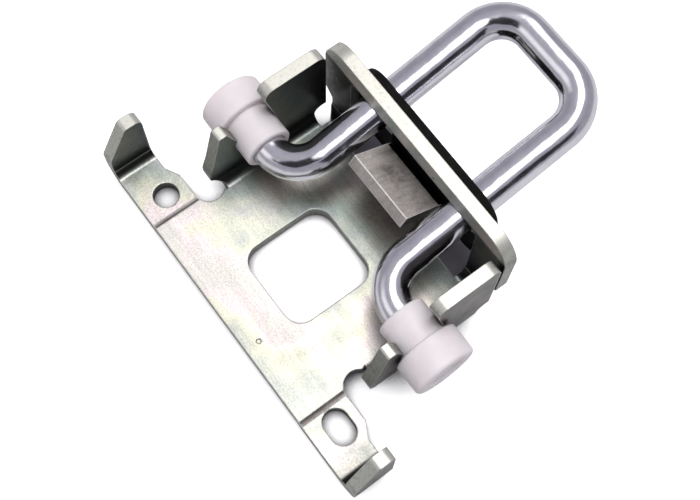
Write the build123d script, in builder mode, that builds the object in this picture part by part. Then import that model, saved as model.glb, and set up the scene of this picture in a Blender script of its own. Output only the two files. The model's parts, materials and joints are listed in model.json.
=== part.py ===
from build123d import *
import math
import os

os.makedirs("parts", exist_ok=True)

# ---------------------------------------------------------------------------
# Driving dimensions, in millimetres.
# X runs along the bracket, Y from the ears towards the loop, Z up.
# The origin is on the mounting plane under the ears, midway between the two
# screw holes. Y dimensions are measured from the straight rear edge.
# ---------------------------------------------------------------------------

# sheet
SHEET = 3.0
JOGGLE = 1.0                    # how far the ears sit below the plate
PLATE_TOP = JOGGLE + SHEET

# plate and window
WINDOW_X = 21.0
WINDOW_Y = 21.7
WINDOW_MID_Y = 22.25
WINDOW_R = 4.2
DIMPLE_X = 7.6
DIMPLE_Y = 3.5
DIMPLE_R = 0.55

# ears and end tabs
JOGGLE_X = 27.0                 # where the plate starts to drop
JOGGLE_RUN = 1.3
EAR_FOLD_X = 41.5               # where an ear starts to bend up
EAR_DEPTH_IN = 11.8             # depth in Y next to the plate
EAR_DEPTH_OUT = 9.9             # depth in Y at the tab
EAR_STEP_X = 35.0
TAB_BEND_R = 2.2
TAB_TOP = 19.3
TAB_SLOPE_Z = 9.4               # the sloped front edge starts here
TAB_TOP_Y = 5.6                 # and meets the tab's top here
TAB_SLOPE_R = 4.0
TAB_FRONT_R = 1.2
TAB_REAR_R = 1.9
TAB_INNER_X = EAR_FOLD_X + TAB_BEND_R
TAB_OUTER_X = TAB_INNER_X + SHEET
HOLE_X = 32.8
HOLE_Y = 6.5
HOLE_R = 3.0
SLOT_LENGTH = 8.6

# rounded notch between an ear and a side wall
NOTCH_X = 28.3
NOTCH_Y = 15.2
NOTCH_R = 3.5

# side walls
WALL_X = 27.9                   # inner face
WALL_BEND_R = 2.5
WALL_TOP = PLATE_TOP + 26.2
WALL_REAR_Y = 47.8
WALL_FRONT_Y = 31.3             # front of the tall cheek above the seat
WALL_CORNER_R = 2.5
FINGER_TOP = PLATE_TOP + 19.6
FINGER_FRONT_Y = 19.8
FINGER_REAR_Y = 21.9
FINGER_CORNER_R = 0.7
SEAT_R = 5.63                   # open seat for a roller neck
SEAT_LIP_DEG = 25.0             # how far the seat wraps above its middle

# corner reliefs between the side walls and the flange
RELIEF_Y = 44.5                 # the lower part of a wall ends here
RELIEF_TOP = PLATE_TOP + 4.4
RELIEF_R = 2.0
RELIEF_X = 27.9                 # the lower part of the flange ends here

# flange
FLANGE_Y = 49.5                 # inner face
FLANGE_BEND_R = 3.0
FLANGE_HALF_X = 30.5
FLANGE_TOP = PLATE_TOP + 27.75
FLANGE_CORNER_R = 6.5
OPEN_HALF_X = 21.2
OPEN_TOP_Z = PLATE_TOP + 22.5
OPEN_CORNER_R = 2.5
OPEN_TAIL_Y = 46.6              # the opening runs through the bend to here

# tongue between the legs
TONGUE_HALF_X = 9.0
TONGUE_BEND_R = 2.6
TONGUE_BEND_Z = PLATE_TOP + 7.5
TONGUE_DEG = 33.0
TONGUE_LENGTH = 10.2

# bow
WIRE_R = 4.0
FOOT_Y = 29.1
FOOT_Z = PLATE_TOP + 11.5
TILT_DEG = 15.3                 # bow raised against its upper stop
LEG_X = 14.7
FOOT_BEND_R = 8.4
LOOP_BEND_R = 8.8
LOOP_REACH = 58.8               # foot axis to loop bar axis
FOOT_END_X = 38.3
WIRE_CHAMFER = 0.6

# rollers
NECK_R = 5.55
HEAD_R = 7.4
BORE_R = 4.06
NECK_START_X = 23.3
HEAD_START_X = 31.6
HEAD_END_X = 38.8

# rubber pad
PAD_T = 2.5
PAD_HALF_X = 22.0
PAD_LOW_Z = PLATE_TOP + 1.4
PAD_TOP_Z = PLATE_TOP + 26.3
PAD_CORNER_R = 6.0
PAD_SLOT_W = 9.4
PAD_SLOT_LOW_Z = PLATE_TOP + 3.8
PAD_SLOT_TOP_Z = PLATE_TOP + 23.7

# ---------------------------------------------------------------------------
# Derived values
# ---------------------------------------------------------------------------

TILT = math.radians(TILT_DEG)
TONGUE = math.radians(TONGUE_DEG)
LIP = math.radians(SEAT_LIP_DEG)
FLAT_X = WALL_X - WALL_BEND_R   # plate stays flat out to here
FLAT_Y = FLANGE_Y - FLANGE_BEND_R
SEAT_LIP_Z = FOOT_Z + SEAT_R * math.sin(LIP)
SEAT_LIP_Y = SEAT_R * math.cos(LIP)
TOP = PLATE_TOP

# datum planes through the middle of the straight rear edge
top_plane = Plane(origin=(0, -HOLE_Y, 0), x_dir=(1, 0, 0), z_dir=(0, 0, 1))
front_plane = Plane(origin=(0, -HOLE_Y, 0), x_dir=(1, 0, 0), z_dir=(0, -1, 0))
side_plane = Plane(origin=(0, -HOLE_Y, 0), x_dir=(0, 1, 0), z_dir=(1, 0, 0))


def corners_at(outline, *spots):
    """The corner points of a sketch that lie on the given spots."""
    found = ShapeList()
    for vertex in outline.vertices():
        for x, y in spots:
            if math.hypot(vertex.X - x, vertex.Y - y) < 0.01:
                found.append(vertex)
    return found


# ---------------------------------------------------------------------------
# Bracket: plate, ears and end tabs
# ---------------------------------------------------------------------------

with BuildPart() as plate:
    with BuildSketch(top_plane.offset(JOGGLE)):
        with BuildLine():
            Polyline(
                (-JOGGLE_X, 0),
                (JOGGLE_X, 0),
                (JOGGLE_X, NOTCH_Y),
                (FLAT_X, NOTCH_Y + NOTCH_R),
                (FLAT_X, FLAT_Y),
                (-FLAT_X, FLAT_Y),
                (-FLAT_X, NOTCH_Y + NOTCH_R),
                (-JOGGLE_X, NOTCH_Y),
                close=True,
            )
        make_face()
    extrude(amount=SHEET)

with BuildPart() as ear:
    # section along X: plate level, joggle down, ear, bend up, tab
    with BuildSketch(front_plane):
        with BuildLine():
            Polyline(
                (FLAT_X, JOGGLE),
                (JOGGLE_X - 0.4, JOGGLE),
                (JOGGLE_X - 0.4 + JOGGLE_RUN, 0),
                (EAR_FOLD_X, 0),
            )
            RadiusArc((EAR_FOLD_X, 0), (TAB_OUTER_X, TAB_BEND_R + SHEET), -(TAB_BEND_R + SHEET))
            Polyline(
                (TAB_OUTER_X, TAB_BEND_R + SHEET),
                (TAB_OUTER_X, TAB_TOP),
                (TAB_INNER_X, TAB_TOP),
                (TAB_INNER_X, TAB_BEND_R + SHEET),
            )
            RadiusArc((TAB_INNER_X, TAB_BEND_R + SHEET), (EAR_FOLD_X, SHEET), TAB_BEND_R)
            Polyline(
                (EAR_FOLD_X, SHEET),
                (JOGGLE_X + JOGGLE_RUN, SHEET),
                (JOGGLE_X, PLATE_TOP),
                (FLAT_X, PLATE_TOP),
                (FLAT_X, JOGGLE),
            )
        make_face()
    extrude(amount=-EAR_DEPTH_IN)
    # plan outline: the ear is a little shallower towards the tab
    with BuildSketch(top_plane.offset(-1)):
        with BuildLine():
            Polyline(
                (FLAT_X - 1, 0),
                (TAB_OUTER_X + 1, 0),
                (TAB_OUTER_X + 1, EAR_DEPTH_OUT),
                (EAR_STEP_X + 3.5, EAR_DEPTH_OUT),
                (EAR_STEP_X, EAR_DEPTH_IN),
                (FLAT_X - 1, EAR_DEPTH_IN),
                close=True,
            )
        make_face()
    extrude(amount=TAB_TOP + 2, mode=Mode.INTERSECT)
    # side outline of the tab: long slope in front, short one behind
    with BuildSketch(side_plane.offset(FLAT_X - 1)) as tab_outline:
        with BuildLine():
            Polyline(
                (0, -1),
                (0, TAB_SLOPE_Z),
                (TAB_TOP_Y, TAB_TOP),
                (EAR_DEPTH_OUT, TAB_TOP),
                (EAR_DEPTH_OUT, 12.0),
                (EAR_DEPTH_IN + 1, 12.0),
                (EAR_DEPTH_IN + 1, -1),
                close=True,
            )
        make_face()
        fillet(corners_at(tab_outline, (0, TAB_SLOPE_Z)), radius=TAB_SLOPE_R)
        fillet(corners_at(tab_outline, (TAB_TOP_Y, TAB_TOP)), radius=TAB_FRONT_R)
        fillet(corners_at(tab_outline, (EAR_DEPTH_OUT, TAB_TOP)), radius=TAB_REAR_R)
    extrude(amount=TAB_OUTER_X - FLAT_X + 2, mode=Mode.INTERSECT)
    mirror(about=Plane.YZ)

# ---------------------------------------------------------------------------
# Bracket: side walls with the open seats
# ---------------------------------------------------------------------------

with BuildPart() as walls:
    with BuildSketch(front_plane.offset(-NOTCH_Y)):
        with BuildLine():
            Line((FLAT_X, JOGGLE), (FLAT_X, PLATE_TOP))
            RadiusArc((FLAT_X, PLATE_TOP), (WALL_X, PLATE_TOP + WALL_BEND_R), -WALL_BEND_R)
            Polyline(
                (WALL_X, PLATE_TOP + WALL_BEND_R),
                (WALL_X, WALL_TOP),
                (WALL_X + SHEET, WALL_TOP),
                (WALL_X + SHEET, PLATE_TOP + WALL_BEND_R),
            )
            RadiusArc(
                (WALL_X + SHEET, PLATE_TOP + WALL_BEND_R),
                (FLAT_X, JOGGLE),
                WALL_BEND_R + SHEET,
            )
        make_face()
    extrude(amount=-(WALL_REAR_Y - NOTCH_Y))
    mirror(about=Plane.YZ)
    # side view: sloped finger, round seat with a narrower mouth, tall cheek
    with BuildSketch(side_plane) as wall_outline:
        with BuildLine():
            Polyline(
                (NOTCH_Y + NOTCH_R, -1),
                (NOTCH_Y + NOTCH_R, TOP + 0.2),
                (15.9, TOP + 3.4),
                (15.9, TOP + 5.6),
                (17.4, TOP + 10.2),
                (FINGER_FRONT_Y, FINGER_TOP),
                (FINGER_REAR_Y, FINGER_TOP),
                (FOOT_Y - SEAT_LIP_Y, SEAT_LIP_Z),
            )
            ThreePointArc(
                (FOOT_Y - SEAT_LIP_Y, SEAT_LIP_Z),
                (FOOT_Y, FOOT_Z - SEAT_R),
                (FOOT_Y + SEAT_LIP_Y, SEAT_LIP_Z),
            )
            Polyline(
                (FOOT_Y + SEAT_LIP_Y, SEAT_LIP_Z),
                (WALL_FRONT_Y, WALL_TOP),
                (WALL_REAR_Y, WALL_TOP),
                (WALL_REAR_Y, RELIEF_TOP),
                (RELIEF_Y, RELIEF_TOP),
                (RELIEF_Y, -1),
                (NOTCH_Y + NOTCH_R, -1),
            )
        make_face()
        finger_ends = ((FINGER_FRONT_Y, FINGER_TOP), (FINGER_REAR_Y, FINGER_TOP))
        cheek_ends = ((WALL_FRONT_Y, WALL_TOP), (WALL_REAR_Y, WALL_TOP))
        fillet(corners_at(wall_outline, *finger_ends), radius=FINGER_CORNER_R)
        fillet(corners_at(wall_outline, *cheek_ends), radius=WALL_CORNER_R)
        fillet(corners_at(wall_outline, (RELIEF_Y, RELIEF_TOP)), radius=RELIEF_R)
    extrude(amount=WALL_X + 2 * SHEET, both=True, mode=Mode.INTERSECT)

# ---------------------------------------------------------------------------
# Bracket: front flange
# ---------------------------------------------------------------------------

with BuildPart() as flange:
    with BuildSketch(side_plane):
        with BuildLine():
            Line((FLAT_Y, JOGGLE), (FLAT_Y, PLATE_TOP))
            RadiusArc((FLAT_Y, PLATE_TOP), (FLANGE_Y, TOP + FLANGE_BEND_R), -FLANGE_BEND_R)
            Polyline(
                (FLANGE_Y, TOP + FLANGE_BEND_R),
                (FLANGE_Y, FLANGE_TOP),
                (FLANGE_Y + SHEET, FLANGE_TOP),
                (FLANGE_Y + SHEET, TOP + FLANGE_BEND_R),
            )
            RadiusArc(
                (FLANGE_Y + SHEET, TOP + FLANGE_BEND_R),
                (FLAT_Y, JOGGLE),
                FLANGE_BEND_R + SHEET,
            )
        make_face()
    extrude(amount=FLANGE_HALF_X, both=True)
    # front view: rounded top corners, lower corners cut back to the bend
    with BuildSketch(front_plane.offset(-FLAT_Y + 1)):
        with BuildLine():
            Polyline(
                (0, -1),
                (RELIEF_X, -1),
                (RELIEF_X, TOP + 4.8),
                (FLANGE_HALF_X, TOP + 7.6),
                (FLANGE_HALF_X, FLANGE_TOP - FLANGE_CORNER_R),
            )
            RadiusArc(
                (FLANGE_HALF_X, FLANGE_TOP - FLANGE_CORNER_R),
                (FLANGE_HALF_X - FLANGE_CORNER_R, FLANGE_TOP),
                -FLANGE_CORNER_R,
            )
            Polyline(
                (FLANGE_HALF_X - FLANGE_CORNER_R, FLANGE_TOP),
                (0, FLANGE_TOP),
                (0, -1),
            )
        make_face()
        mirror(about=Plane.YZ)
    extrude(amount=-(SHEET + FLANGE_BEND_R + 2), mode=Mode.INTERSECT)
    # lower corners of the bend cut back towards the plate
    with BuildSketch(top_plane.offset(-1)):
        with BuildLine():
            Polyline(
                (FLAT_X, FLAT_Y - 1),
                (FLAT_X, FLAT_Y + 0.6),
                (RELIEF_X, FLANGE_Y - 0.3),
                (RELIEF_X + 2, FLANGE_Y - 0.3),
                (RELIEF_X + 2, FLAT_Y - 1),
                close=True,
            )
        make_face()
        mirror(about=Plane.YZ)
    extrude(amount=RELIEF_TOP + 1, mode=Mode.SUBTRACT)
    # one wide opening for both legs, with a standing web in its middle
    with BuildSketch(front_plane.offset(-FLAT_Y + 1)):
        with Locations((0, OPEN_TOP_Z / 2 - 1)):
            RectangleRounded(2 * OPEN_HALF_X, OPEN_TOP_Z + 2, OPEN_CORNER_R)
        with Locations((0, TONGUE_BEND_Z - 15)):
            Rectangle(2 * TONGUE_HALF_X, 30, mode=Mode.SUBTRACT)
    extrude(amount=-(SHEET + FLANGE_BEND_R + 2), mode=Mode.SUBTRACT)

with BuildPart() as tongue:
    with BuildSketch(side_plane):
        bend_y = FLANGE_Y - TONGUE_BEND_R
        outer_r = TONGUE_BEND_R + SHEET
        up = (math.sin(TONGUE), math.cos(TONGUE))
        along = (-math.cos(TONGUE), math.sin(TONGUE))
        top_root = (bend_y + outer_r * up[0], TONGUE_BEND_Z + outer_r * up[1])
        low_root = (
            bend_y + TONGUE_BEND_R * up[0],
            TONGUE_BEND_Z + TONGUE_BEND_R * up[1],
        )
        top_tip = (
            top_root[0] + TONGUE_LENGTH * along[0],
            top_root[1] + TONGUE_LENGTH * along[1],
        )
        low_tip = (
            low_root[0] + TONGUE_LENGTH * along[0],
            low_root[1] + TONGUE_LENGTH * along[1],
        )
        with BuildLine():
            Polyline(
                (FLANGE_Y, TONGUE_BEND_Z),
                (FLANGE_Y, TONGUE_BEND_Z - 1),
                (FLANGE_Y + SHEET, TONGUE_BEND_Z - 1),
                (FLANGE_Y + SHEET, TONGUE_BEND_Z),
            )
            RadiusArc((FLANGE_Y + SHEET, TONGUE_BEND_Z), top_root, -outer_r)
            Polyline(top_root, top_tip, low_tip, low_root)
            RadiusArc(low_root, (FLANGE_Y, TONGUE_BEND_Z), TONGUE_BEND_R)
        make_face()
    extrude(amount=TONGUE_HALF_X, both=True)

# ---------------------------------------------------------------------------
# Bracket: one folded sheet
# ---------------------------------------------------------------------------

with BuildPart() as bracket:
    add(plate.part)
    add(ear.part)
    add(walls.part)
    add(flange.part)
    add(tongue.part)
    # window in the plate
    with BuildSketch(top_plane):
        with Locations((0, WINDOW_MID_Y)):
            RectangleRounded(WINDOW_X, WINDOW_Y, WINDOW_R)
    extrude(amount=PLATE_TOP + 1, mode=Mode.SUBTRACT)
    # round hole in one ear, slot in the other
    with BuildSketch(top_plane.offset(-1)):
        with Locations((-HOLE_X, HOLE_Y)):
            Circle(HOLE_R)
        with Locations((HOLE_X, HOLE_Y)):
            SlotOverall(SLOT_LENGTH, 2 * HOLE_R)
    extrude(amount=SHEET + 2, mode=Mode.SUBTRACT)
    # rounded notches beside the ears
    with BuildSketch(top_plane.offset(-1)):
        with Locations((NOTCH_X, NOTCH_Y), (-NOTCH_X, NOTCH_Y)):
            Circle(NOTCH_R)
    extrude(amount=PLATE_TOP + 1.2, mode=Mode.SUBTRACT)
    # rounded tails of the opening, from the flange into the plate
    with BuildSketch(top_plane.offset(-1)):
        for side in (-1, 1):
            tail_x = side * (OPEN_HALF_X + TONGUE_HALF_X) / 2
            with Locations((tail_x, OPEN_TAIL_Y + 5)):
                RectangleRounded(OPEN_HALF_X - TONGUE_HALF_X, 10, OPEN_CORNER_R)
    extrude(amount=PLATE_TOP + 3, mode=Mode.SUBTRACT)
    # centre-punch mark
    with BuildSketch(top_plane.offset(PLATE_TOP)):
        with Locations((DIMPLE_X, DIMPLE_Y)):
            Circle(DIMPLE_R)
    extrude(amount=-0.4, mode=Mode.SUBTRACT)

bracket.part.label = "bracket"
export_step(bracket.part, "parts/bracket.step")

# ---------------------------------------------------------------------------
# Bow: round wire in one plane, raised about the foot axis
# ---------------------------------------------------------------------------

bow_plane = Plane(
    origin=(0, FOOT_Y - HOLE_Y, FOOT_Z),
    x_dir=(1, 0, 0),
    z_dir=(0, -math.sin(TILT), math.cos(TILT)),
)

with BuildPart() as bow:
    with BuildLine(bow_plane) as bow_path:
        foot_a = Line((FOOT_END_X, 0), (LEG_X + FOOT_BEND_R, 0))
        bend_a = JernArc(foot_a @ 1, foot_a % 1, FOOT_BEND_R, -90)
        leg_a = Line(bend_a @ 1, (LEG_X, LOOP_REACH - LOOP_BEND_R))
        turn_a = JernArc(leg_a @ 1, leg_a % 1, LOOP_BEND_R, 90)
        bar = Line(turn_a @ 1, (-LEG_X + LOOP_BEND_R, LOOP_REACH))
        turn_b = JernArc(bar @ 1, bar % 1, LOOP_BEND_R, 90)
        leg_b = Line(turn_b @ 1, (-LEG_X, FOOT_BEND_R))
        bend_b = JernArc(leg_b @ 1, leg_b % 1, FOOT_BEND_R, -90)
        foot_b = Line(bend_b @ 1, (-FOOT_END_X, 0))
    with BuildSketch(Plane(origin=bow_path.line @ 0, z_dir=bow_path.line % 0)):
        Circle(WIRE_R)
    sweep(path=bow_path.line)
    ends = bow.faces().sort_by(Axis.X)
    chamfer([ends[0].edge(), ends[-1].edge()], length=WIRE_CHAMFER)

bow.part.label = "bow"
export_step(bow.part, "parts/bow.step")

# ---------------------------------------------------------------------------
# Rollers: stepped bushes, neck in the wall's seat, head outside it
# ---------------------------------------------------------------------------

with BuildPart() as roller_right:
    with BuildSketch(top_plane.offset(FOOT_Z)):
        with BuildLine():
            Polyline(
                (NECK_START_X, FOOT_Y + BORE_R + 0.3),
                (NECK_START_X + 0.3, FOOT_Y + BORE_R),
                (HEAD_END_X - 0.4, FOOT_Y + BORE_R),
                (HEAD_END_X, FOOT_Y + BORE_R + 0.4),
                (HEAD_END_X, FOOT_Y + HEAD_R - 1.0),
            )
            RadiusArc(
                (HEAD_END_X, FOOT_Y + HEAD_R - 1.0),
                (HEAD_END_X - 1.0, FOOT_Y + HEAD_R),
                -1.0,
            )
            Polyline(
                (HEAD_END_X - 1.0, FOOT_Y + HEAD_R),
                (HEAD_START_X + 0.3, FOOT_Y + HEAD_R),
                (HEAD_START_X, FOOT_Y + HEAD_R - 0.3),
                (HEAD_START_X, FOOT_Y + NECK_R),
                (NECK_START_X + 0.3, FOOT_Y + NECK_R),
                (NECK_START_X, FOOT_Y + NECK_R - 0.3),
                (NECK_START_X, FOOT_Y + BORE_R + 0.3),
            )
        make_face()
    revolve(axis=Axis((0, FOOT_Y - HOLE_Y, FOOT_Z), (1, 0, 0)))

roller_right.part.label = "roller_right"
export_step(roller_right.part, "parts/roller_right.step")

with BuildPart() as roller_left:
    add(mirror(roller_right.part, about=Plane.YZ))

roller_left.part.label = "roller_left"
export_step(roller_left.part, "parts/roller_left.step")

# ---------------------------------------------------------------------------
# Rubber pad on the flange's outer face
# ---------------------------------------------------------------------------

with BuildPart() as pad:
    with BuildSketch(front_plane.offset(-(FLANGE_Y + SHEET))):
        with Locations((0, (PAD_LOW_Z + PAD_TOP_Z) / 2)):
            RectangleRounded(2 * PAD_HALF_X, PAD_TOP_Z - PAD_LOW_Z, PAD_CORNER_R)
        with Locations(
            (LEG_X, (PAD_SLOT_LOW_Z + PAD_SLOT_TOP_Z) / 2),
            (-LEG_X, (PAD_SLOT_LOW_Z + PAD_SLOT_TOP_Z) / 2),
        ):
            SlotOverall(
                PAD_SLOT_TOP_Z - PAD_SLOT_LOW_Z,
                PAD_SLOT_W,
                rotation=90,
                mode=Mode.SUBTRACT,
            )
    extrude(amount=-PAD_T)
    outer = pad.faces().sort_by(Axis.Y)[-1]
    fillet(outer.outer_wire().edges(), radius=0.6)

pad.part.label = "pad"
export_step(pad.part, "parts/pad.step")
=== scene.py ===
import json
import math

import bpy
from mathutils import Matrix, Vector


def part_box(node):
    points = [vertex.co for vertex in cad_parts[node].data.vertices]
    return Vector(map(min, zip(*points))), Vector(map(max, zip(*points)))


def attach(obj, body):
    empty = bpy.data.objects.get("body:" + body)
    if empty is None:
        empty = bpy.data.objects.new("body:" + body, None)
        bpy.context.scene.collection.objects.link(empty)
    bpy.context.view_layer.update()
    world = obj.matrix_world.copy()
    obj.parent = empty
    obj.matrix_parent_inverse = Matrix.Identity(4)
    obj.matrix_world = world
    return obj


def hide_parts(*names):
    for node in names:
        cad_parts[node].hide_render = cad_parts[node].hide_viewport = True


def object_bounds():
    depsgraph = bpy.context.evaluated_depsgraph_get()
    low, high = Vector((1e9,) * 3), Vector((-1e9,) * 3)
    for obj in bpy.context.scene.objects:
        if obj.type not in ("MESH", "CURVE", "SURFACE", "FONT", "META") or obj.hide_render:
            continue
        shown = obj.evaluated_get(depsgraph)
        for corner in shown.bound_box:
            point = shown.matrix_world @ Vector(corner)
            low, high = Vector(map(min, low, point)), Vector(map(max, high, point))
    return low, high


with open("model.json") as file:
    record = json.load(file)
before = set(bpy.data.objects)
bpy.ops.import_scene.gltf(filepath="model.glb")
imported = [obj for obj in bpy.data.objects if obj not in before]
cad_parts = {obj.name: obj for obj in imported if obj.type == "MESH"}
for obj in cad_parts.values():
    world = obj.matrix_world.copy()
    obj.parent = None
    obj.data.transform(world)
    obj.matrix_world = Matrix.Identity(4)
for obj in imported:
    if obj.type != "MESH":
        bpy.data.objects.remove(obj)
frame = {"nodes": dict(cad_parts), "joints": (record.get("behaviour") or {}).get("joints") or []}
cad_low, cad_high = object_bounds()

MM = 0.001
BLACK = (0.0, 0.0, 0.0)
WHITE = (1.0, 1.0, 1.0)

# The bow's wire, in the plane of the bow. Lengths are in millimetres.
WIRE_R = 4.0
WIRE_CHAMFER = 0.6
BOW_TILT = math.radians(15.3)
FOOT_END_X = 38.3
LEG_X = 14.7
FOOT_BEND_R = 8.4
LOOP_BEND_R = 8.8
LOOP_REACH = 58.8
BEND_STEPS = 20
RING_STEPS = 48

# The bracket's leaves: the ranges that tell one leaf from another, in metres.
TAB_X = 43.6 * MM
WALL_X = (27.8 * MM, 31.5 * MM)
WALL_Y = (8.0 * MM, 41.4 * MM)
FLANGE_FACE_Y = 42.9 * MM
TONGUE_X = 9.2 * MM
TONGUE_Z = (12.0 * MM, 24.0 * MM)
BEND_TOP_Z = 7.0 * MM
JOGGLE_X = (26.5 * MM, 29.0 * MM)
JOGGLE_TOP_Z = 4.1 * MM

# How much of a face's unit normal has to lie along an axis to count.
FACING = 0.5
LEANING = 0.35
DEAD_ON = 0.9999
RAMP_SLOPE = (0.4, 0.97)

CREASE_ANGLE = math.radians(28)

# The camera, in millimetres. It looks down from the ears' side.
CAMERA_PLACE = (68.86, -29.60, 250.15)
CAMERA_FORWARD = (-0.2539, 0.2105, -0.9441)
CAMERA_UP = (-0.7592, 0.5613, 0.3293)
CAMERA_LENS = 60.5
CAMERA_SENSOR = 36.0


# ---------------------------------------------------------------------------
# Node helpers
# ---------------------------------------------------------------------------


class Shader:
    """A node tree with short calls for adding and joining nodes."""

    def __init__(self, tree):
        self.tree = tree
        self.nodes = tree.nodes
        self.nodes.clear()

    def node(self, kind, inputs=None, **settings):
        made = self.nodes.new("ShaderNode" + kind)
        for key, value in settings.items():
            setattr(made, key, value)
        for key, value in (inputs or {}).items():
            self.put(made.inputs[key], value)
        return made

    def put(self, socket, value):
        if isinstance(value, bpy.types.NodeSocket):
            self.tree.links.new(value, socket)
        else:
            socket.default_value = value

    def math(self, operation, a, b=0.0, clamp=False):
        made = self.node("Math", {0: a, 1: b}, operation=operation, use_clamp=clamp)
        return made.outputs[0]

    def dot(self, a, b):
        return self.node("VectorMath", {0: a, 1: b}, operation="DOT_PRODUCT").outputs["Value"]

    def ramp(self, value, stops, interpolation="LINEAR"):
        """stops: (position, grey or rgb) pairs."""
        made = self.node("ValToRGB", {"Fac": value})
        made.color_ramp.interpolation = interpolation
        elements = made.color_ramp.elements
        while len(elements) < len(stops):
            elements.new(0.5)
        for element, (position, colour) in zip(elements, stops):
            element.position = position
            if not isinstance(colour, tuple):
                colour = (colour,) * 3
            element.color = (*colour, 1.0)
        return made.outputs["Color"]

    def ramp_over(self, length, span, stops, interpolation="LINEAR"):
        """Ramp over 0 to span. The span and the stops' positions are in millimetres."""
        part = self.math("DIVIDE", length, span * MM)
        return self.ramp(part, [(at / span, colour) for at, colour in stops], interpolation)

    def mix(self, factor, a, b, blend="MIX"):
        made = self.node("Mix", data_type="RGBA", blend_type=blend)
        for index, value in ((0, factor), (6, a), (7, b)):
            if isinstance(value, tuple) and len(value) == 3:
                value = (*value, 1.0)
            self.put(made.inputs[index], value)
        return made.outputs[2]

    def multiply(self, colour, *layers):
        for layer in layers:
            colour = self.mix(1.0, colour, layer, "MULTIPLY")
        return colour

    def noise(self, vector, scale, detail=3.0, roughness=0.55, stretch=(1, 1, 1)):
        """Noise whose scale is in features per millimetre."""
        scaled = self.node(
            "Mapping",
            {"Vector": vector, "Scale": tuple(s * scale / MM for s in stretch)},
        )
        made = self.node(
            "TexNoise",
            {
                "Vector": scaled.outputs[0],
                "Scale": 1.0,
                "Detail": detail,
                "Roughness": roughness,
            },
        )
        return made.outputs["Fac"]

    def place(self):
        """The point on the object, in metres."""
        return self.node("TexCoord").outputs["Object"]

    def axes(self, vector):
        return self.node("SeparateXYZ", {0: vector}).outputs

    def normal(self):
        return self.node("NewGeometry").outputs["Normal"]

    def upward(self):
        """How far the surface faces up: 1 on top, 0 on a wall, -1 underneath."""
        return self.axes(self.normal())["Z"]


def new_material(name):
    """A material with its shader and its principled surface."""
    material = bpy.data.materials.new(name)
    material.use_nodes = True
    shader = Shader(material.node_tree)
    surface = shader.node("BsdfPrincipled")
    shader.node("OutputMaterial", {"Surface": surface.outputs["BSDF"]})
    return material, shader, surface


def finish_surface(shader, surface, colour, roughness, relief, **more):
    """Sets the surface's inputs. relief: (strength, millimetres, height, normal)."""
    strength, depth, height, normal = relief
    bump = shader.node("Bump", {"Strength": strength, "Distance": depth * MM, "Height": height})
    if normal is not None:
        shader.put(bump.inputs["Normal"], normal)
    shader.put(surface.inputs["Base Color"], colour)
    shader.put(surface.inputs["Roughness"], roughness)
    shader.put(surface.inputs["Normal"], bump.outputs[0])
    for key, value in more.items():
        shader.put(surface.inputs[key.replace("_", " ")], value)


def openness(shader, distance, stops):
    """Ramp over how open a point is: low in corners and high on free faces."""
    made = shader.node("AmbientOcclusion", {"Distance": distance}, samples=12)
    return shader.ramp(made.outputs["AO"], stops)


def edge_mask(shader, radius):
    """1 on rounded edges and 0 on flat faces, with the rounded normal."""
    rounded = shader.node("Bevel", {"Radius": radius}, samples=6).outputs[0]
    away = shader.math("SUBTRACT", 1.0, shader.dot(rounded, shader.normal()))
    return shader.math("MULTIPLY", away, 6.0, clamp=True), rounded


# ---------------------------------------------------------------------------
# Materials
# ---------------------------------------------------------------------------


def painted_glare_mask(shader, place):
    """1 where painted glare makes the plating pale at the rear edge, 0 where painted dark
    reflection dulls the plating by the flange.
    """
    x, y, _ = shader.axes(place)
    wander = 24 * MM
    slant = 0.45
    dull_from_x = 22 * MM
    dull_slope = 2.4
    drift = shader.noise(place, 0.07, detail=4.0, roughness=0.6)
    reach = shader.math("ADD", y, shader.math("MULTIPLY", drift, wander))
    # the border slants towards the flange on the right, and turns back by the right wall
    reach = shader.math("SUBTRACT", reach, shader.math("MULTIPLY", x, slant))
    beyond = shader.math("MAXIMUM", shader.math("SUBTRACT", x, dull_from_x), 0.0)
    reach = shader.math("ADD", reach, shader.math("MULTIPLY", beyond, dull_slope))
    return shader.ramp_over(reach, 50, [(23, 1.0), (42, 0.0)], "EASE")


def plating_tint(shader, place):
    """Clouds of faint yellow, pink and green over zinc grey, bright under painted glare and dull
    under painted dark reflection.
    """
    dull = shader.ramp(
        shader.noise(place, 0.055, detail=2.5),
        [
            (0.32, (0.52, 0.46, 0.47)),
            (0.43, (0.50, 0.475, 0.43)),
            (0.52, (0.37, 0.415, 0.375)),
            (0.60, (0.36, 0.405, 0.40)),
            (0.72, (0.53, 0.46, 0.43)),
        ],
    )
    bright = shader.ramp(
        shader.noise(place, 0.06, detail=2.0),
        [
            (0.38, (0.66, 0.64, 0.59)),
            (0.46, (0.775, 0.685, 0.68)),
            (0.54, (0.755, 0.74, 0.59)),
            (0.62, (0.58, 0.605, 0.545)),
        ],
    )
    # painted glare and painted dark reflection: the bright set where the glare mask is high, the
    # dull set elsewhere
    tint = shader.mix(painted_glare_mask(shader, place), dull, bright)
    # painted light: the glare fades slightly from the round-holed ear towards the slotted one
    half_span = 30
    along = shader.math("ADD", shader.axes(place)["X"], half_span * MM)
    glare_falloff = shader.ramp_over(along, 2 * half_span, [(3, 1.12), (18, 1.0), (37.2, 0.76)])
    return shader.multiply(tint, glare_falloff)


def flange_band(shader, place):
    """1 on the flange's top band, which catches light that the walls don't."""
    _, y, z = shader.axes(place)
    top = shader.ramp_over(z, 40, [(26.2, 0.0), (27.2, 1.0)])
    return shader.math("MULTIPLY", top, shader.math("GREATER_THAN", y, FLANGE_FACE_Y))


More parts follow.
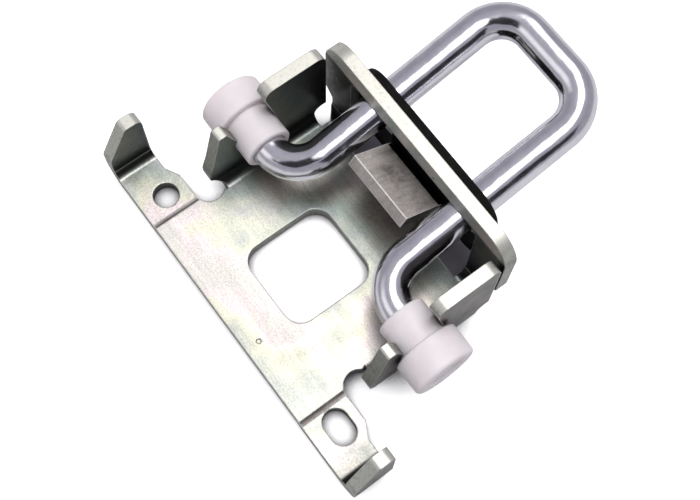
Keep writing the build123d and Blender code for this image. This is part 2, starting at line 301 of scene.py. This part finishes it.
def zinc_face():
    """Rolled sheet under bright zinc: cloudy, faintly iridescent, finely speckled."""
    material, shader, surface = new_material("zinc_face")
    place = shader.place()
    rolled = shader.noise(place, 0.9, detail=4.0, stretch=(0.06, 1.0, 0.4))
    speckle = shader.noise(place, 3.2, detail=2.0, roughness=0.7)
    specks = shader.noise(place, 1.7, detail=3.0, roughness=0.75)
    grain = shader.ramp(speckle, [(0.32, 0.72), (0.5, 1.0), (0.68, 1.16)])
    pits = shader.ramp(specks, [(0.24, 0.25), (0.31, 1.0)])
    bands = shader.ramp(rolled, [(0.35, 0.90), (0.65, 1.06)])
    # corners are shaded, but less so on faces that look up
    upward = shader.upward()
    band = flange_band(shader, place)
    shade = openness(shader, 15 * MM, [(0.12, 0.08), (0.45, 0.42), (0.78, 0.94), (0.9, 1.0)])
    shade = shader.mix(shader.ramp(upward, [(0.8, 0.0), (0.97, 0.8)]), shade, WHITE)
    shade = shader.mix(band, shade, WHITE)
    # painted shade: standing faces and bends are darkened against flat ones, and the flange's
    # top band is lifted as painted light
    slope_shade = shader.ramp(
        shader.math("ABSOLUTE", upward),
        [(0.0, 0.38), (0.3, 0.33), (0.7, 0.15), (0.93, 0.16), (0.97, 0.28), (0.994, 1.0)],
    )
    slope_shade = shader.mix(band, slope_shade, (1.25, 1.2, 1.15))
    # painted shade: the end tabs and their bends are darkened against the ears
    outward = shader.math("ABSOLUTE", shader.axes(place)["X"])
    tab_shade = shader.ramp_over(outward, 60, [(41.7, 1.0), (43.2, 0.45)])
    tint = plating_tint(shader, place)
    colour = shader.multiply(tint, grain, pits, bands, shade, slope_shade, tab_shade)
    # the rounded edges are lightened: burnished, with a painted highlight
    at_edge, rounded = edge_mask(shader, 0.42 * MM)
    blotch = shader.noise(place, 0.22, detail=4.0)
    finish_surface(
        shader,
        surface,
        colour=shader.mix(at_edge, colour, (0.80, 0.79, 0.74)),
        roughness=shader.ramp(blotch, [(0.3, 0.27), (0.7, 0.40)]),
        relief=(0.45, 0.02, speckle, rounded),
        Metallic=shader.ramp(band, [(0.0, 1.0), (1.0, 0.3)]),
    )
    return material


def zinc_cut():
    """Sheared edge of the sheet, burnished: painted light makes it pale on top, painted shade
    grey-green on its sides.
    """
    material, shader, surface = new_material("zinc_cut")
    place = shader.place()
    tears = shader.noise(place, 1.6, detail=4.0, stretch=(1.0, 1.0, 0.35))
    speckle = shader.noise(place, 3.5, detail=2.0, roughness=0.7)
    pale = shader.ramp(
        tears,
        [(0.3, (0.62, 0.62, 0.55)), (0.5, (0.76, 0.755, 0.67)), (0.75, (0.69, 0.68, 0.61))],
    )
    dull = shader.ramp(
        tears,
        [(0.3, (0.24, 0.26, 0.23)), (0.55, (0.36, 0.375, 0.335)), (0.75, (0.30, 0.30, 0.28))],
    )
    # painted light and shade: faces that look up take the pale colour, standing faces the dull
    # one
    lit = shader.ramp(shader.upward(), [(0.35, 0.0), (0.85, 1.0)])
    shade = openness(shader, 8 * MM, [(0.1, 0.15), (0.5, 0.7), (0.8, 1.0)])
    colour = shader.multiply(shader.mix(lit, dull, pale), shade)
    # the rounded edges are mixed towards a darker grey
    at_edge, rounded = edge_mask(shader, 0.28 * MM)
    finish_surface(
        shader,
        surface,
        colour=shader.mix(shader.math("MULTIPLY", at_edge, 0.7), colour, (0.36, 0.36, 0.32)),
        roughness=shader.ramp(tears, [(0.3, 0.48), (0.7, 0.36)]),
        relief=(0.45, 0.03, shader.math("ADD", tears, speckle), rounded),
        Metallic=0.85,
    )
    return material


def zinc_rubbed():
    """Tongue and joggles: plating rubbed dull and taupe, with darker smears."""
    material, shader, surface = new_material("zinc_rubbed")
    place = shader.place()
    smear = shader.noise(place, 0.16, detail=4.0, roughness=0.6, stretch=(1.0, 0.6, 0.6))
    scratch = shader.noise(place, 1.1, detail=4.0, stretch=(1.0, 0.12, 0.12))
    speckle = shader.noise(place, 3.0, detail=2.0, roughness=0.7)
    tint = shader.ramp(
        smear,
        [(0.36, (0.30, 0.27, 0.255)), (0.48, (0.60, 0.55, 0.52)), (0.68, (0.74, 0.69, 0.655))],
    )
    scores = shader.ramp(scratch, [(0.35, 0.84), (0.6, 1.05)])
    grain = shader.ramp(speckle, [(0.3, 0.75), (0.6, 1.08)])
    # painted shade: faces that look up less, such as the tongue's end, are darker
    end = shader.ramp(shader.upward(), [(0.55, 0.62), (0.75, 1.0)])
    # painted shade: a joggle's ramp is dark where it leaves the plate, and lightened a little
    # towards the ear
    across = shader.math("ABSOLUTE", shader.axes(place)["X"])
    crease = shader.ramp_over(
        across, 30, [(26.7, 1.0), (26.94, 0.25), (27.45, 0.35), (27.96, 1.15)]
    )
    # the rounded edges are lightened almost to white: worn bright, with a painted highlight
    at_edge, rounded = edge_mask(shader, 0.5 * MM)
    colour = shader.multiply(tint, scores, grain, end, crease)
    finish_surface(
        shader,
        surface,
        colour=shader.mix(at_edge, colour, (1.0, 0.98, 0.94)),
        roughness=shader.ramp(smear, [(0.3, 0.52), (0.7, 0.38)]),
        relief=(0.4, 0.03, scratch, rounded),
        Metallic=0.35,
    )
    return material


def chrome_wire():
    """Plated drawn wire: near mirror, with faint haze, ripple and pits."""
    material, shader, surface = new_material("chrome_wire")
    place = shader.place()
    haze = shader.noise(place, 0.35, detail=4.0)
    pits = shader.noise(place, 2.2, detail=3.0, roughness=0.7)
    tint = shader.ramp(haze, [(0.35, (0.74, 0.735, 0.79)), (0.65, (0.82, 0.82, 0.85))])
    ripple = shader.noise(place, 0.14, detail=2.0)
    finish_surface(
        shader,
        surface,
        colour=shader.multiply(tint, shader.ramp(pits, [(0.22, 0.7), (0.29, 1.0)])),
        roughness=shader.ramp(haze, [(0.3, 0.11), (0.7, 0.18)]),
        relief=(1.0, 0.2, ripple, None),
        Metallic=1.0,
    )
    return material


def milky_nylon():
    """Natural nylon: milky, slightly pink in shade, soft gloss, faint flow marks."""
    material, shader, surface = new_material("milky_nylon")
    place = shader.place()
    cloud = shader.noise(place, 0.18, detail=3.0)
    flow = shader.noise(place, 0.8, detail=4.0)
    _, rounded = edge_mask(shader, 0.35 * MM)
    finish_surface(
        shader,
        surface,
        colour=shader.ramp(cloud, [(0.3, (0.76, 0.705, 0.72)), (0.7, (0.82, 0.77, 0.78))]),
        roughness=shader.ramp(flow, [(0.3, 0.36), (0.7, 0.48)]),
        relief=(0.2, 0.05, flow, rounded),
        Subsurface_Weight=0.55,
        Subsurface_Radius=(1.0, 0.8, 0.8),
        Subsurface_Scale=2.2 * MM,
    )
    return material


def black_rubber():
    """Matt moulded rubber with a fine grain and greyer rubbed edges."""
    material, shader, surface = new_material("black_rubber")
    place = shader.place()
    grain = shader.noise(place, 2.4, detail=4.0, roughness=0.65)
    dust = shader.noise(place, 0.3, detail=3.0)
    colour = shader.ramp(dust, [(0.35, (0.003, 0.003, 0.003)), (0.7, (0.009, 0.008, 0.007))])
    at_edge, rounded = edge_mask(shader, 0.4 * MM)
    finish_surface(
        shader,
        surface,
        colour=shader.mix(at_edge, colour, (0.022, 0.022, 0.022)),
        roughness=shader.ramp(grain, [(0.3, 0.62), (0.7, 0.85)]),
        relief=(0.5, 0.06, grain, rounded),
        Specular_IOR_Level=0.14,
    )
    return material


# ---------------------------------------------------------------------------
# The CAD nodes and their finishes
# ---------------------------------------------------------------------------


def shade_round(mesh):
    """Smooth shading that still breaks at the mesh's corners."""
    mesh.shade_smooth()
    mesh.set_sharp_from_angle(angle=CREASE_ANGLE)


def finish_node(name, *materials):
    """Gives a CAD node its materials and returns its mesh."""
    mesh = frame["nodes"][name].data
    mesh.materials.clear()
    for material in materials:
        mesh.materials.append(material)
    shade_round(mesh)
    return mesh


def is_cut_face(centre, normal):
    """True on the sheet's sheared edges, judged from the leaf the face lies on."""
    x, y, z = centre
    side = abs(x)
    in_bend = z < BEND_TOP_Z
    on_tab = side > TAB_X
    on_wall = WALL_X[0] < side < WALL_X[1] and WALL_Y[0] < y < WALL_Y[1]
    if on_tab or on_wall:
        return abs(normal.y) > LEANING if in_bend else abs(normal.x) < FACING
    if side < TONGUE_X and TONGUE_Z[0] < z < TONGUE_Z[1]:
        return abs(normal.x) > FACING
    if y > FLANGE_FACE_Y:
        return abs(normal.x) > LEANING if in_bend else abs(normal.y) < FACING
    return abs(normal.z) < LEANING


def is_rubbed_face(centre, normal):
    """True on the tongue's sloping faces and on the small ramps beside the ears."""
    if JOGGLE_X[0] < abs(centre.x) < JOGGLE_X[1] and centre.z < JOGGLE_TOP_Z:
        return RAMP_SLOPE[0] < normal.z < RAMP_SLOPE[1]
    inside = abs(centre.x) < TONGUE_X and TONGUE_Z[0] < centre.z < TONGUE_Z[1]
    return inside and centre.y < FLANGE_FACE_Y + 1 * MM and abs(normal.x) < FACING


def keep_leaves_flat(mesh):
    """Marks the seams where a flat leaf meets a bend, so that the leaf shades flat."""
    beside = {}
    for polygon in mesh.polygons:
        level = max(abs(part) for part in polygon.normal) > DEAD_ON
        for key in polygon.edge_keys:
            beside.setdefault(key, set()).add(level)
    for edge in mesh.edges:
        if len(beside[edge.key]) == 2:
            edge.use_edge_sharp = True


def finish_bracket():
    """Gives each face of the sheet its finish, as a slot number."""
    face, cut, rubbed = range(3)
    mesh = finish_node("bracket", zinc_face(), zinc_cut(), zinc_rubbed())
    keep_leaves_flat(mesh)
    for polygon in mesh.polygons:
        finish = cut if is_cut_face(polygon.center, polygon.normal) else face
        if is_rubbed_face(polygon.center, polygon.normal):
            finish = rubbed
        polygon.material_index = finish


# ---------------------------------------------------------------------------
# The bow's wire, swept along its centre line
# ---------------------------------------------------------------------------


def bend(path, radius, turn):
    """Carries the path on through a quarter turn: 1 to the left, -1 to the right."""
    u, v, heading = path[-1]
    side = heading + turn * math.pi / 2
    middle_u = u + radius * math.cos(side)
    middle_v = v + radius * math.sin(side)
    for step in range(1, BEND_STEPS + 1):
        angle = turn * step / BEND_STEPS * math.pi / 2
        out = side + math.pi + angle
        spot = (middle_u + radius * math.cos(out), middle_v + radius * math.sin(out))
        path.append((*spot, heading + angle))


def straight(path, length):
    """Carries the path straight on."""
    u, v, heading = path[-1]
    path.append((u + length * math.cos(heading), v + length * math.sin(heading), heading))


def bow_centre_line():
    """(along X, away from the feet, heading) points of the wire's middle."""
    foot = FOOT_END_X - LEG_X - FOOT_BEND_R
    leg = LOOP_REACH - LOOP_BEND_R - FOOT_BEND_R
    path = [(FOOT_END_X, 0.0, math.pi)]
    straight(path, WIRE_CHAMFER)
    straight(path, foot - WIRE_CHAMFER)
    bend(path, FOOT_BEND_R, -1)
    straight(path, leg)
    bend(path, LOOP_BEND_R, 1)
    straight(path, 2 * (LEG_X - LOOP_BEND_R))
    bend(path, LOOP_BEND_R, 1)
    straight(path, leg)
    bend(path, FOOT_BEND_R, -1)
    straight(path, foot - WIRE_CHAMFER)
    straight(path, WIRE_CHAMFER)
    return path


def wire_vertices(path, pivot):
    """A ring of points round each spot of the path, raised about the pivot."""
    away = Vector((0, math.cos(BOW_TILT), math.sin(BOW_TILT)))
    above = Vector((0, -math.sin(BOW_TILT), math.cos(BOW_TILT)))
    along = Vector((1, 0, 0))
    vertices = []
    for index, (u, v, heading) in enumerate(path):
        at_end = index in (0, len(path) - 1)
        radius = WIRE_R - (WIRE_CHAMFER if at_end else 0.0)
        middle = along * u + away * v
        across = along * -math.sin(heading) + away * math.cos(heading)
        for step in range(RING_STEPS):
            angle = 2 * math.pi * step / RING_STEPS
            rim = across * math.cos(angle) + above * math.sin(angle)
            vertices.append(pivot + (middle + rim * radius) * MM)
    return vertices


def wire_faces(rings):
    """Quads between neighbouring rings, and a face over each end."""
    faces = []
    for ring in range(rings - 1):
        for step in range(RING_STEPS):
            following = (step + 1) % RING_STEPS
            near, far = ring * RING_STEPS, (ring + 1) * RING_STEPS
            faces.append((near + step, far + step, far + following, near + following))
    last = (rings - 1) * RING_STEPS
    faces.append(tuple(range(RING_STEPS)))
    faces.append(tuple(last + step for step in reversed(range(RING_STEPS))))
    return faces


def bow_wire():
    """The bow as one closed tube, raised about the axis of its feet."""
    joint = next(j for j in frame["joints"] if j["name"] == "bow_tilt")
    path = bow_centre_line()
    mesh = bpy.data.meshes.new("bow_wire")
    mesh.from_pydata(wire_vertices(path, Vector(joint["pos_m"])), [], wire_faces(len(path)))
    shade_round(mesh)
    mesh.materials.append(chrome_wire())
    wire = bpy.data.objects.new("bow_wire", mesh)
    bpy.context.scene.collection.objects.link(wire)
    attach(wire, "bow")
    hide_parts("bow")


# ---------------------------------------------------------------------------
# Floor
# ---------------------------------------------------------------------------


def under_flange(shader):
    """1 on the strip of floor that lies under the flange and the pad, where a shadow is painted.
    """
    low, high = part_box("pad")
    axes = shader.axes(shader.place())
    margin = 5 * MM
    rear_margin = 8 * MM
    across = (low.x - margin, high.x + margin)
    ahead = (low.y - rear_margin, high.y + margin)
    sides = []
    for axis, (first, last) in (("X", across), ("Y", ahead)):
        middle, half = (first + last) / 2, (last - first) / 2
        away = shader.math("ABSOLUTE", shader.math("SUBTRACT", axes[axis], middle))
        sides.append(shader.ramp(shader.math("DIVIDE", away, half), [(0.78, 1.0), (1.0, 0.0)]))
    return shader.multiply(*sides)


def floor_paper():
    """Pale paper, lifted to white for the camera only, so that metal sees it grey."""
    material = bpy.data.materials.new("floor_paper")
    material.use_nodes = True
    shader = Shader(material.node_tree)
    # painted shadow: the paper darkens, and its glow dims, where it is hemmed in and under the
    # flange
    free = openness(shader, 14 * MM, [(0.32, 0.0), (0.60, 1.0)])
    free = shader.mix(under_flange(shader), free, BLACK)
    seen = shader.node("LightPath").outputs["Is Camera Ray"]
    glow = shader.math("MULTIPLY", seen, 0.8)
    paper = shader.node(
        "BsdfPrincipled",
        {
            "Base Color": shader.mix(free, (0.16, 0.15, 0.17), (0.66, 0.655, 0.665)),
            "Roughness": 0.9,
            "Specular IOR Level": 0.1,
            "Emission Color": (*WHITE, 1.0),
            "Emission Strength": shader.math("MULTIPLY", glow, free),
        },
    )
    # seen from below the paper is clear, so that the underside can be looked at
    from_below = shader.node("NewGeometry").outputs["Backfacing"]
    clear = shader.node("BsdfTransparent").outputs["BSDF"]
    either = shader.node("MixShader", {0: from_below, 1: paper.outputs["BSDF"], 2: clear})
    shader.node("OutputMaterial", {"Surface": either.outputs[0]})
    return material


def floor():
    """One large level sheet just under the object."""
    reach = 6.0
    gap = 0.02 * MM
    level = cad_low.z - gap
    corners = [(x * reach, y * reach, level) for x, y in ((-1, -1), (1, -1), (1, 1), (-1, 1))]
    mesh = bpy.data.meshes.new("floor")
    mesh.from_pydata(corners, [], [range(len(corners))])
    mesh.materials.append(floor_paper())
    sheet = bpy.data.objects.new("floor", mesh)
    bpy.context.scene.collection.objects.link(sheet)


# ---------------------------------------------------------------------------
# Light and camera
# ---------------------------------------------------------------------------


def softbox():
    """A soft light overhead that casts shadows but isn't mirrored in the metal."""
    data = bpy.data.lights.new("softbox", "AREA")
    data.shape = "RECTANGLE"
    data.size, data.size_y = 0.3, 0.5
    data.energy = 1.2
    place = Vector((0.02, 0.04, 0.62))
    middle = (cad_low + cad_high) / 2
    aim = (middle - place).to_track_quat("-Z", "Y").to_matrix().to_4x4()
    turn = Matrix.Rotation(math.radians(40), 4, "Z")
    lamp = bpy.data.objects.new("softbox", data)
    lamp.matrix_world = Matrix.Translation(place) @ aim @ turn
    lamp.visible_glossy = False
    bpy.context.scene.collection.objects.link(lamp)


def soft_patch(shader, direction, middle, long_axis, half_sizes, stops):
    """A soft oval of light on the sky. Half sizes are sines of angles."""
    along = Vector(long_axis).normalized()
    middle = Vector(middle).normalized()
    across = middle.cross(along).normalized()
    along = across.cross(middle)
    parts = []
    for axis, half in zip((along, across), half_sizes):
        scaled = shader.math("DIVIDE", shader.dot(direction, axis), half)
        parts.append(shader.math("POWER", shader.math("ABSOLUTE", scaled), 2.0))
    radius = shader.math("SQRT", shader.math("ADD", *parts))
    behind = shader.math("LESS_THAN", shader.dot(direction, middle), 0.0)
    far_off = shader.math("MULTIPLY", behind, 9.0)
    return shader.ramp(shader.math("ADD", radius, far_off), stops, "EASE")


def dark_panel(shader, direction, x_range, y_range):
    """1 inside a soft-edged panel on the sky. Ranges are tangents from overhead."""
    axes = shader.axes(direction)
    height = shader.math("MAXIMUM", axes["Z"], 0.02)
    sides = []
    for axis, (first, last) in (("X", x_range), ("Y", y_range)):
        slope = shader.math("DIVIDE", axes[axis], height)
        middle, half = (first + last) / 2, (last - first) / 2
        away = shader.math("ABSOLUTE", shader.math("SUBTRACT", slope, middle))
        # the border runs from 0.05 inside the panel's edge to 0.05 outside it
        outside = shader.math("SUBTRACT", away, half - 0.5)
        sides.append(shader.ramp(outside, [(0.45, 1.0), (0.55, 0.0)]))
    return shader.multiply(*sides)


def studio_world():
    """Lilac-grey tent with a long soft light overhead and two dark panels."""
    world = bpy.data.worlds.new("studio")
    world.use_nodes = True
    bpy.context.scene.world = world
    shader = Shader(world.node_tree)
    direction = shader.node("TexCoord").outputs["Generated"]
    tent = shader.ramp(
        shader.axes(direction)["Z"],
        [
            (0.0, (0.46, 0.45, 0.47)),
            (0.25, (0.36, 0.355, 0.40)),
            (0.60, (0.34, 0.335, 0.385)),
            (1.0, (0.50, 0.49, 0.54)),
        ],
    )
    above = soft_patch(
        shader,
        direction,
        middle=(0.06, 0.07, 1.0),
        long_axis=(0.594, -0.804, 0.0),
        half_sizes=(0.80, 0.34),
        stops=[(0.30, 1.0), (0.62, 0.42), (1.0, 0.0)],
    )
    beside = soft_patch(
        shader,
        direction,
        middle=(-0.30, -0.76, 0.56),
        long_axis=(1.0, 0.0, 0.0),
        half_sizes=(0.5, 0.4),
        stops=[(0.2, 1.0), (1.0, 0.0)],
    )
    sky = tent
    for patch, light in ((above, (4.5, 4.46, 4.40)), (beside, (0.7, 0.68, 0.66))):
        sky = shader.mix(1.0, sky, shader.multiply(patch, light), "ADD")
    for x_range, y_range in (((-0.15, 0.82), (-1.64, -0.34)), ((1.18, 6.0), (-0.57, 0.44))):
        panel = dark_panel(shader, direction, x_range, y_range)
        sky = shader.mix(panel, sky, (0.03, 0.03, 0.035))
    background = shader.node("Background", {"Color": sky, "Strength": 1.0})
    shader.node("OutputWorld", {"Surface": background.outputs[0]})


def camera():
    """The camera, at the photograph's viewing angle."""
    data = bpy.data.cameras.new("camera")
    data.sensor_width = CAMERA_SENSOR
    data.lens = CAMERA_LENS
    data.clip_start = 0.01
    forward = Vector(CAMERA_FORWARD).normalized()
    right = forward.cross(Vector(CAMERA_UP)).normalized()
    upright = right.cross(forward)
    turn = Matrix((right, upright, -forward)).transposed().to_4x4()
    eye = bpy.data.objects.new("camera", data)
    eye.matrix_world = Matrix.Translation(Vector(CAMERA_PLACE) * MM) @ turn
    bpy.context.scene.collection.objects.link(eye)
    bpy.context.scene.camera = eye


# ---------------------------------------------------------------------------
# The scene
# ---------------------------------------------------------------------------

finish_bracket()
nylon = milky_nylon()
finish_node("roller_left", nylon)
finish_node("roller_right", nylon)
finish_node("pad", black_rubber())
bow_wire()

floor()
studio_world()
softbox()
camera()
bpy.context.scene.view_settings.view_transform = "Standard"
